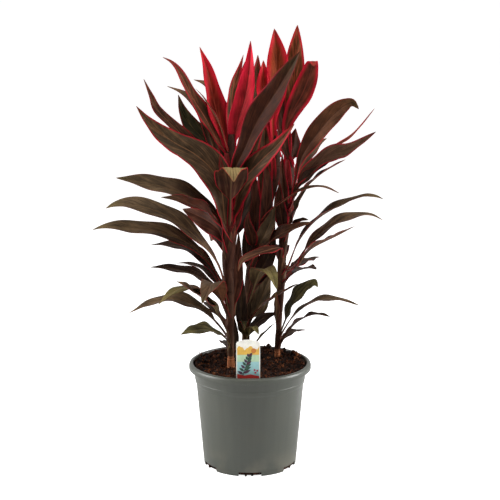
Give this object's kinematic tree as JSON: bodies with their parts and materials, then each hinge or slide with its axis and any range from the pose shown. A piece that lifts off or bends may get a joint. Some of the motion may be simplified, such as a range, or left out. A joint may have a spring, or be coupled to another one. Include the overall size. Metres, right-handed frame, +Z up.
{
  "type": "ti plant",
  "caption": "Red-leaved ti plant with tall leafy canes and crimson crowns, growing in a grey-green nursery pot with a plant label.",
  "frame": {"origin": "centre of the pot's underside, on the surface it stands on", "axes": "+Z up, the longest extent; -Y is the front, where the label stands; +X to the right seen from the front"},
  "size_m": [0.4979, 0.3702, 0.7516],
  "materials": {
    "pot_plastic": "satin moulded, grey-green",
    "soil": "rough, moist potting compost with bark",
    "tag_plastic": "smooth printed label, semi-gloss",
    "grown_leaf": "living leaf, satin, dark bronze with thin crimson margins",
    "young_leaf": "living leaf, satin, bright crimson round a brown-red middle"
  },
  "bodies": {
    "root": {"pot": "pot_plastic", "soil": "soil", "plant_tag": "tag_plastic", "left_leafy_cane": "grown_leaf", "left_crown": "young_leaf", "middle_leafy_cane": "grown_leaf", "middle_crown": "young_leaf", "right_leafy_cane": "grown_leaf", "right_crown": "young_leaf"}
  },
  "joints": []
}
